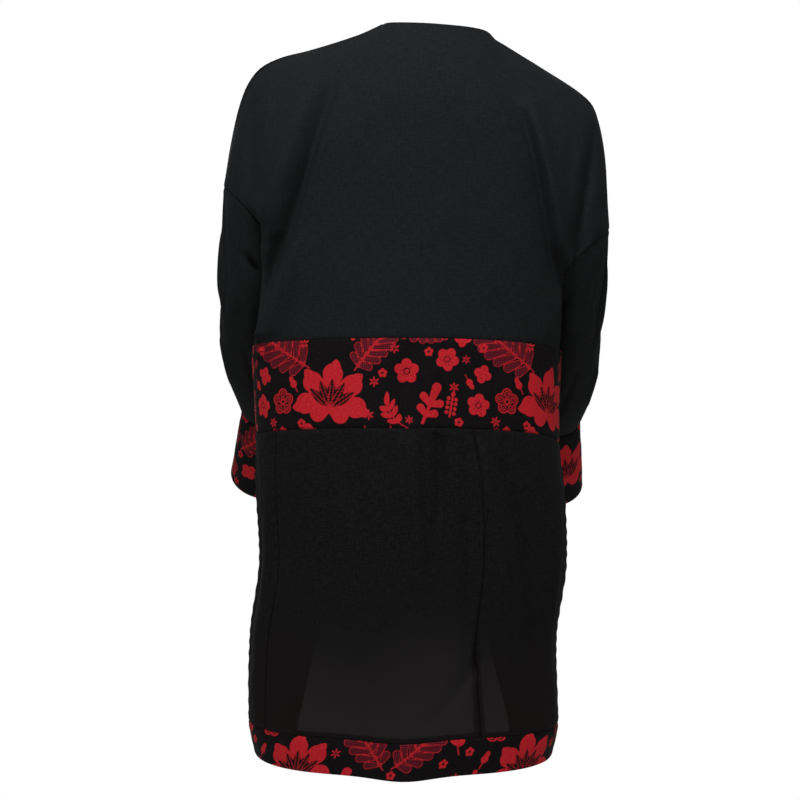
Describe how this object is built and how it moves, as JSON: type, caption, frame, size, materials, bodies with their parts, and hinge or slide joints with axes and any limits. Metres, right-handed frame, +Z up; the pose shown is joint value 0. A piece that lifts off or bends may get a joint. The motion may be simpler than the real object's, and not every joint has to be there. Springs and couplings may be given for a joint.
{
  "type": "manteau, an open-front thigh-length overdress with dropped shoulders",
  "caption": "Open-front manteau in its worn, hollow form: crepe bodice, sleeves and semi-sheer skirt, with woven floral bands at waist, cuffs and hem.",
  "frame": {"origin": "on the shoulder line at the base of the neck, where the wearer's shoulders carry the garment", "axes": "+Z up, the back of the garment faces +Y, the wearer's left is +X"},
  "size_m": [0.471, 0.3747, 0.8819],
  "materials": {
    "crepe": "matte black crepe with a fine dry grain",
    "sheer_crepe": "matte black crepe, thin enough to let a little light through",
    "patterned_band": "firm red and black jacquard with a woven floral pattern"
  },
  "bodies": {
    "root": {"bodice_back": "crepe", "bodice_front_left": "crepe", "bodice_front_right": "crepe", "sleeve_left": "crepe", "sleeve_right": "crepe", "skirt_back_right": "sheer_crepe", "skirt_back_centre": "sheer_crepe", "skirt_back_left": "sheer_crepe", "skirt_front_left": "sheer_crepe", "skirt_front_right": "sheer_crepe", "cuff_left": "patterned_band", "cuff_right": "patterned_band", "waistband_back": "patterned_band", "waistband_front_left": "patterned_band", "waistband_front_right": "patterned_band", "hem_band_back": "patterned_band", "hem_band_front_left": "patterned_band", "hem_band_front_right": "patterned_band"}
  },
  "joints": []
}
